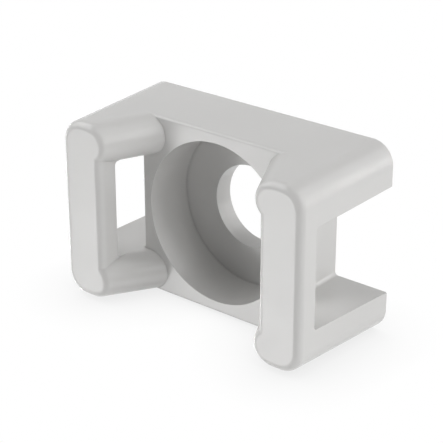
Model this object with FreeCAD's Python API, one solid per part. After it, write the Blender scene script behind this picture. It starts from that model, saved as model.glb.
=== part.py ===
import FreeCAD, Part
import math
import os

# Low, screw-down cable tie mount, moulded in one piece.
#
# Frame, in millimetres:
#   X runs along the length, from crossbar to crossbar, and is the way the tie is threaded.
#   Y runs into the panel behind: the mounting face is y = 0 and the front is y = -body_depth.
#   Z is up, across the width. The part stands on one long side.
#   The origin is the middle of the screw hole, on the mounting face.

# Outer block
base_length = 22.3
base_width = 14.45
body_depth = 10.0
end_corner_radius = 1.7
draft_angle = 2.0

# Hub that the screw clamps, with the head sunk in a counterbore
hub_depth = 5.65
counterbore_diameter = 12.4
floor_thickness = 1.6
screw_hole_diameter = 6.5
hub_side_wall = 0.44
hub_edge_radius = 0.2

# Crossbars that the tie passes under
crossbar_width = 3.6
crossbar_thickness = 1.65
front_edge_radius = 0.55

# Pocket under each crossbar, open to the end, to the cradle and to the mounting face
pocket_width = 8.18
pocket_corner_radius = 0.3

# Struts that lean in from the crossbar ends and stand on the hub, with fully rounded edges
strut_lean_angle = 27.0
strut_overhang = 0.28

# How far a cutting or filling shape runs past the surface it has to clear
run_past = 2.0

# Two points this close count as being in the same place
same_place = 1e-4

draft_slope = math.tan(math.radians(draft_angle))
crossbar_inner_x = base_length / 2 - body_depth * draft_slope - crossbar_width
pocket_depth = body_depth - crossbar_thickness
hub_half_length = counterbore_diameter / 2 + hub_side_wall
cradle_depth = body_depth - hub_depth
strut_middle_z = (base_width / 2 + pocket_width / 2) / 2
strut_thickness = (base_width - pocket_width) / 2 * math.cos(math.radians(draft_angle))

origin = FreeCAD.Vector(0, 0, 0)
length_axis = FreeCAD.Vector(1, 0, 0)
forward = FreeCAD.Vector(0, -1, 0)
width_axis = FreeCAD.Vector(0, 0, 1)


def box(x_low, x_high, y_low, y_high, z_low, z_high):
    return Part.makeBox(x_high - x_low, y_high - y_low, z_high - z_low, FreeCAD.Vector(x_low, y_low, z_low))


def tapered_box(front, back):
    """Flat-sided box between two rectangles, each given as x_low, x_high, z_half and y."""
    front_x_low, front_x_high, front_z, front_y = front
    back_x_low, back_x_high, back_z, back_y = back
    return Part.makeWedge(
        front_x_low, front_y, -front_z, -back_z, back_x_low,
        front_x_high, back_y, front_z, back_z, back_x_high)


def both_ends(shape):
    return [shape, shape.mirror(origin, length_axis)]


def both_sides(shape):
    return [shape, shape.mirror(origin, width_axis)]


def same(value, other):
    return math.isclose(value, other, abs_tol=same_place)


def at_depth(edge, y):
    return same(edge.CenterOfMass.y, y) and all(same(vertex.Y, y) for vertex in edge.Vertexes)


def runs_between(edge, y_front, y_back):
    depths = sorted(vertex.Y for vertex in edge.Vertexes)
    return same(depths[0], y_front) and same(depths[-1], y_back)


def crosses_middle(edge):
    """True of an edge that runs across the width, from one side to the other."""
    return same(edge.CenterOfMass.z, 0)


def outer_block():
    """Block that narrows to the front by the draft on all four sides, with rounded ends."""
    taper = body_depth * draft_slope
    half_length = base_length / 2
    half_width = base_width / 2
    front = (-half_length + taper, half_length - taper, half_width - taper, -body_depth)
    back = (-half_length, half_length, half_width, 0)
    block = tapered_box(front, back)
    corners = [edge for edge in block.Edges if runs_between(edge, -body_depth, 0)]
    return block.makeFillet(end_corner_radius, corners)


def trimmed_to_block(shape, y_front, y_back):
    reach = base_length + base_width
    return shape.common(box(-reach, reach, y_front, y_back, -reach, reach)).common(outer_block())


def front_edges(shape):
    return [edge for edge in shape.Edges if at_depth(edge, -body_depth)]


def hub():
    """Full-width part behind the cradle, which the screw clamps to the panel."""
    slab = trimmed_to_block(outer_block(), -hub_depth, 0)
    return slab.makeFillet(hub_edge_radius, [edge for edge in slab.Edges if at_depth(edge, -hub_depth)])


def crossbar():
    """Bar at one end. Each of its ends lies in a strut, halfway from the pocket wall to the middle."""
    half_span = (pocket_width / 2 + strut_middle_z) / 2 - body_depth * draft_slope
    bar = box(crossbar_inner_x, base_length, -body_depth, -hub_depth, -half_span, half_span)
    bar = trimmed_to_block(bar, -body_depth, -hub_depth)
    return bar.makeFillet(front_edge_radius, [edge for edge in front_edges(bar) if crosses_middle(edge)])


def strut():
    """Slab between the pocket wall and the long side, its leaning inner edge a full round."""
    lean = cradle_depth * math.tan(math.radians(strut_lean_angle))
    head = FreeCAD.Vector(
        crossbar_inner_x - strut_overhang, -body_depth, strut_middle_z - body_depth * draft_slope)
    foot = FreeCAD.Vector(head.x - lean, -hub_depth, strut_middle_z - hub_depth * draft_slope)
    along = (foot - head).normalize()
    across = FreeCAD.Vector(0, -draft_slope, 1).normalize()
    outward = along.cross(across)
    crest = head - along * run_past
    centre = crest + outward * strut_thickness / 2
    far = centre + outward * base_length / 2
    offset = across * strut_thickness / 2
    outline = Part.Wire([
        Part.Arc(centre + offset, crest, centre - offset).toShape(),
        Part.makeLine(centre - offset, far - offset),
        Part.makeLine(far - offset, far + offset),
        Part.makeLine(far + offset, centre + offset),
    ])
    slab = Part.Face(outline).extrude(along * ((foot - head).Length + 2 * run_past))
    slab = trimmed_to_block(slab, -body_depth, -hub_depth + hub_edge_radius)
    return slab.makeFillet(front_edge_radius, front_edges(slab))


def pocket_part(y_front, y_back, x_low_front, x_low_back):
    """Stretch of the pocket between two depths, past the end of the mount."""
    past_end = base_length / 2 + run_past
    front = (x_low_front, past_end, pocket_width / 2 + y_front * draft_slope, y_front)
    back = (x_low_back, past_end, pocket_width / 2 + y_back * draft_slope, y_back)
    return tapered_box(front, back)


def tie_pocket():
    """Pocket under one crossbar, drafted so that it opens out towards the mounting face."""
    hub_front_x = hub_half_length + hub_depth * draft_slope
    beside_hub = pocket_part(-hub_depth, run_past, hub_front_x, hub_half_length - run_past * draft_slope)
    hub_corners = [
        edge for edge in beside_hub.Edges
        if runs_between(edge, -hub_depth, run_past) and edge.CenterOfMass.x < base_length / 2
    ]
    under_crossbar = pocket_part(-pocket_depth, -hub_depth, 0, 0)
    crossbar_corners = [
        edge for edge in under_crossbar.Edges
        if at_depth(edge, -pocket_depth) and not crosses_middle(edge)
    ]
    beside_hub = beside_hub.makeFillet(pocket_corner_radius, hub_corners)
    under_crossbar = under_crossbar.makeFillet(pocket_corner_radius, crossbar_corners)
    return beside_hub.fuse(under_crossbar)


def screw_hole():
    """Clearance hole, and the counterbore that lets the screw head in from the front."""
    bore_start = FreeCAD.Vector(0, run_past, 0)
    bore = Part.makeCylinder(screw_hole_diameter / 2, hub_depth + run_past, bore_start, forward)
    floor_centre = FreeCAD.Vector(0, -floor_thickness, 0)
    counterbore = Part.makeCylinder(counterbore_diameter / 2, body_depth, floor_centre, forward)
    return bore.fuse(counterbore)


def mount_body():
    struts = [piece for half in both_ends(strut()) for piece in both_sides(half)]
    body = hub().fuse(both_ends(crossbar()) + struts)
    body = body.cut(both_ends(tie_pocket()) + [screw_hole()])
    return body.removeSplitter()


os.makedirs("parts", exist_ok=True)
shape = mount_body()
shape.exportStep("parts/mount_body.step")
print("mount_body", shape.ShapeType, len(shape.Solids), "solid", shape.isValid(), round(shape.Volume, 2), "mm3")
print("box", shape.BoundBox)
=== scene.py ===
import math

import bpy
from mathutils import Matrix, Vector


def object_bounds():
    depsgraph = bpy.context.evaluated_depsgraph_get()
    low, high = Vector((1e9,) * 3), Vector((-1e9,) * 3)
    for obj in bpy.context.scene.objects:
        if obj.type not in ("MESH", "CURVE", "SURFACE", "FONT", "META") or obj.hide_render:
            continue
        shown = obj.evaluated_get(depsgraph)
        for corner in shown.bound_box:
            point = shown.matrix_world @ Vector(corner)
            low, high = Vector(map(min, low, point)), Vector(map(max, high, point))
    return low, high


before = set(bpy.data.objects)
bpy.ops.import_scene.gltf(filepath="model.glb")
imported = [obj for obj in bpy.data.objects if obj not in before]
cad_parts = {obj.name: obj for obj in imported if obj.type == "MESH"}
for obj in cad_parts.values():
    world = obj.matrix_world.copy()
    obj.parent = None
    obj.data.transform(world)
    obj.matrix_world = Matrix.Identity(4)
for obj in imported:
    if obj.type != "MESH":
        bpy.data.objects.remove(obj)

# The mount stands on its long side, as the frame has it, on a white floor under soft light.
# Lengths are in metres.

CAD_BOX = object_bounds()
MILLIMETRE = 0.001

# Floor
FLOOR_SIZE = 4.0
FLOOR_TONE = 0.8
SHADOW_REACH = 5 * MILLIMETRE
SHADOW_TONE = 0.8

# Camera, as the photograph was taken
PHOTO_PIXELS = 443
FOCAL_LENGTH_PIXELS = 1483
SENSOR_WIDTH = 36
VIEW_AZIMUTH = math.radians(39.41)
VIEW_ELEVATION = math.radians(24.17)
CAMERA_DISTANCE = 110.45 * MILLIMETRE
AIM_RIGHT = -3.16 * MILLIMETRE
AIM_UP = -1.583 * MILLIMETRE
NEAREST_SEEN = 1 * MILLIMETRE
FARTHEST_SEEN = 2 * FLOOR_SIZE

# Soft lamps all round: azimuth and elevation in degrees, how brightly each lights a surface that
# faces it, and how wide it looks, in degrees. Those below shine up through the floor, as in a
# light table, and the two at azimuth -39 show in the flat front faces.
LAMPS = [
    ("lamp_below_front", -39, -24, 0.10, 20),
    ("lamp_below", -39, -38, 0.09, 30),
    ("lamp_below_left", -110, -20, 0.30, 50),
    ("lamp_below_right", 70, -35, 0.12, 40),
    ("lamp_left_high", -60, 35, 0.48, 50),
    ("lamp_left_behind", -90, 51, 0.13, 32),
    ("lamp_right_low", 60, 5, 0.06, 30),
    ("lamp_right", 95, 21, 0.30, 42),
    ("lamp_right_high", 75, 60, 0.23, 50),
    ("lamp_behind_high", 138, 35, 0.16, 44),
    ("lamp_behind", 150, 5, 0.19, 30),
]

# Plastic
PLASTIC_COLOR = (0.62, 0.615, 0.605)
CLOUD_SHADES = (0.99, 1.01)
CLOUD_SIZE = 6 * MILLIMETRE
CLOUD_DETAIL = 0
ROUGHNESS_RANGE = (0.215, 0.265)
SHEEN_SIZE = 2 * MILLIMETRE
SHEEN_DETAIL = 1
GRAIN_HEIGHT = 0.003 * MILLIMETRE
GRAIN_SIZE = 0.5 * MILLIMETRE
GRAIN_DETAIL = 1
EDGE_ROUNDING = 0.05 * MILLIMETRE
EDGE_SAMPLES = 8
# Painted shade: the plastic colour is darkened in hollow corners, by how enclosed they are within this
# reach
PAINTED_CREASE_SHADE_REACH = 0.3 * MILLIMETRE
PAINTED_CREASE_SHADE = 0.7

# Noise mostly lies between these two values
NOISE_LOW = 0.3
NOISE_HIGH = 0.7


def direction(azimuth, elevation):
    """Unit vector towards a viewpoint. Azimuth 0 is in front, on the -Y side, and 90 is at +X."""
    flat = math.cos(elevation)
    return Vector((math.sin(azimuth) * flat, -math.cos(azimuth) * flat, math.sin(elevation)))


def add_camera():
    back = direction(VIEW_AZIMUTH, VIEW_ELEVATION)
    right = Vector((math.cos(VIEW_AZIMUTH), math.sin(VIEW_AZIMUTH), 0))
    up = back.cross(right)
    place = back * CAMERA_DISTANCE + right * AIM_RIGHT + up * AIM_UP
    data = bpy.data.cameras.new("camera")
    data.sensor_width = SENSOR_WIDTH
    data.lens = FOCAL_LENGTH_PIXELS / PHOTO_PIXELS * SENSOR_WIDTH
    data.clip_start = NEAREST_SEEN
    data.clip_end = FARTHEST_SEEN
    camera = bpy.data.objects.new("camera", data)
    camera.matrix_world = Matrix.Translation(place) @ Matrix((right, up, back)).transposed().to_4x4()
    bpy.context.scene.collection.objects.link(camera)
    bpy.context.scene.camera = camera


def tone(value):
    """Grey from black at 0 to white at 1."""
    return (value, value, value, 1)


def plastic_color(shade):
    return (*[shade * value for value in PLASTIC_COLOR], 1)


def new_material(name):
    material = bpy.data.materials.new(name)
    material.use_nodes = True
    material.node_tree.nodes.clear()
    return material, material.node_tree.nodes, material.node_tree.links


def color_mix(nodes, low, high):
    """Mix of two colours. Its Factor runs from 0, all low, to 1, all high."""
    mix = nodes.new("ShaderNodeMix")
    mix.data_type = "RGBA"
    mix.inputs["A"].default_value = low
    mix.inputs["B"].default_value = high
    return mix


def seen_directly(nodes, links):
    """1 for what the camera sees, at first hand or mirrored in a gloss, and 0 for what only gives light."""
    path = nodes.new("ShaderNodeLightPath")
    seen = nodes.new("ShaderNodeMath")
    seen.operation = "MAXIMUM"
    links.new(path.outputs["Is Camera Ray"], seen.inputs[0])
    links.new(path.outputs["Is Glossy Ray"], seen.inputs[1])
    return seen


def add_world():
    """White background. The lamps give the light."""
    world = bpy.data.worlds.new("world")
    world.use_nodes = True
    nodes = world.node_tree.nodes
    links = world.node_tree.links
    nodes.clear()
    seen = seen_directly(nodes, links)
    white = nodes.new("ShaderNodeBackground")
    white.inputs["Color"].default_value = tone(1)
    output = nodes.new("ShaderNodeOutputWorld")
    links.new(seen.outputs[0], white.inputs["Strength"])
    links.new(white.outputs[0], output.inputs["Surface"])
    bpy.context.scene.world = world


def add_lamp(name, azimuth, elevation, brightness, width):
    """Soft sun lamp. At a brightness of 1, a white surface that faces it would come out white."""
    wholly_above_floor = elevation > width / 2
    data = bpy.data.lights.new(name, "SUN")
    data.energy = brightness * math.pi
    data.angle = math.radians(width)
    # The floor is clear to shadow rays alone, so a lamp that shines through it is found by those alone
    data.cycles.use_multiple_importance_sampling = wholly_above_floor
    lamp = bpy.data.objects.new(name, data)
    towards = direction(math.radians(azimuth), math.radians(elevation))
    lamp.rotation_mode = "QUATERNION"
    lamp.rotation_quaternion = towards.to_track_quat("Z", "Y")
    bpy.context.scene.collection.objects.link(lamp)


def add_lamps():
    for lamp in LAMPS:
        add_lamp(*lamp)


def floor_white():
    """White with the mount's soft shadow on it, plain pale to the mount, and lit from below."""
    material, nodes, links = new_material("floor_white")
    openness = nodes.new("ShaderNodeAmbientOcclusion")
    openness.inputs["Distance"].default_value = SHADOW_REACH
    shadow = color_mix(nodes, tone(SHADOW_TONE), tone(1))
    links.new(openness.outputs["AO"], shadow.inputs["Factor"])
    white = nodes.new("ShaderNodeEmission")
    links.new(shadow.outputs["Result"], white.inputs["Color"])
    plain = nodes.new("ShaderNodeBsdfDiffuse")
    plain.inputs["Color"].default_value = tone(FLOOR_TONE)

    seen = seen_directly(nodes, links)
    look = nodes.new("ShaderNodeMixShader")
    links.new(seen.outputs[0], look.inputs["Fac"])
    links.new(plain.outputs[0], look.inputs[1])
    links.new(white.outputs[0], look.inputs[2])

    path = nodes.new("ShaderNodeLightPath")
    clear = nodes.new("ShaderNodeBsdfTransparent")
    light_table = nodes.new("ShaderNodeMixShader")
    links.new(path.outputs["Is Shadow Ray"], light_table.inputs["Fac"])
    links.new(look.outputs[0], light_table.inputs[1])
    links.new(clear.outputs[0], light_table.inputs[2])
    output = nodes.new("ShaderNodeOutputMaterial")
    links.new(light_table.outputs[0], output.inputs["Surface"])
    return material


def add_floor():
    half = FLOOR_SIZE / 2
    level = CAD_BOX[0].z
    corners = [(-half, -half, level), (half, -half, level), (half, half, level), (-half, half, level)]
    mesh = bpy.data.meshes.new("floor")
    mesh.from_pydata(corners, [], [(0, 1, 2, 3)])
    mesh.materials.append(floor_white())
    floor = bpy.data.objects.new("floor", mesh)
    bpy.context.scene.collection.objects.link(floor)


def noise(nodes, links, place, size, detail):
    """Noise with spots of about the given size, fixed to the mount."""
    texture = nodes.new("ShaderNodeTexNoise")
    texture.inputs["Scale"].default_value = 1 / size
    texture.inputs["Detail"].default_value = detail
    links.new(place.outputs["Object"], texture.inputs["Vector"])
    return texture


def spread(nodes, links, source, low, high):
    """Noise values stretched to run from low to high."""
    stretch = nodes.new("ShaderNodeMapRange")
    stretch.inputs["From Min"].default_value = NOISE_LOW
    stretch.inputs["From Max"].default_value = NOISE_HIGH
    stretch.inputs["To Min"].default_value = low
    stretch.inputs["To Max"].default_value = high
    links.new(source.outputs["Fac"], stretch.inputs["Value"])
    return stretch


def cloudy_color(nodes, links, place):
    """Plastic a shade darker and lighter in soft patches."""
    low, high = CLOUD_SHADES
    color = color_mix(nodes, plastic_color(low), plastic_color(high))
    clouds = spread(nodes, links, noise(nodes, links, place, CLOUD_SIZE, CLOUD_DETAIL), 0, 1)
    links.new(clouds.outputs[0], color.inputs["Factor"])
    return color


def color_with_painted_crease_shade(nodes, links, color):
    """The given colour with painted shade, darker where two faces meet in a hollow corner."""
    # Painted shade: the colour goes towards the crease shade where the corner is enclosed
    painted_crease_shade = color_mix(nodes, plastic_color(PAINTED_CREASE_SHADE), plastic_color(1))
    openness = nodes.new("ShaderNodeAmbientOcclusion")
    openness.inputs["Distance"].default_value = PAINTED_CREASE_SHADE_REACH
    links.new(openness.outputs["AO"], painted_crease_shade.inputs["Factor"])
    links.new(color.outputs["Result"], painted_crease_shade.inputs["B"])
    return painted_crease_shade


def grainy_rounded_surface(nodes, links, place):
    """Fine moulded grain over sharp edges that are softly rounded."""
    edges = nodes.new("ShaderNodeBevel")
    edges.samples = EDGE_SAMPLES
    edges.inputs["Radius"].default_value = EDGE_ROUNDING
    grain = noise(nodes, links, place, GRAIN_SIZE, GRAIN_DETAIL)
    bump = nodes.new("ShaderNodeBump")
    bump.inputs["Distance"].default_value = GRAIN_HEIGHT
    links.new(edges.outputs["Normal"], bump.inputs["Normal"])
    links.new(grain.outputs["Fac"], bump.inputs["Height"])
    return bump


def plastic():
    """Moulded nylon: faintly cloudy colour, painted shade in the creases, an uneven sheen and a fine grain.
    """
    material, nodes, links = new_material("moulded_plastic")
    place = nodes.new("ShaderNodeTexCoord")
    # The colour carries painted shade in the creases
    color = color_with_painted_crease_shade(nodes, links, cloudy_color(nodes, links, place))
    sheen = spread(nodes, links, noise(nodes, links, place, SHEEN_SIZE, SHEEN_DETAIL), *ROUGHNESS_RANGE)
    surface = grainy_rounded_surface(nodes, links, place)

    shader = nodes.new("ShaderNodeBsdfPrincipled")
    links.new(color.outputs["Result"], shader.inputs["Base Color"])
    links.new(sheen.outputs[0], shader.inputs["Roughness"])
    links.new(surface.outputs["Normal"], shader.inputs["Normal"])
    output = nodes.new("ShaderNodeOutputMaterial")
    links.new(shader.outputs[0], output.inputs["Surface"])
    return material


def dress_mount():
    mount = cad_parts["mount_body"]
    mount.material_slots[0].material = plastic()


bpy.context.scene.view_settings.view_transform = "Standard"
add_camera()
add_world()
add_lamps()
add_floor()
dress_mount()
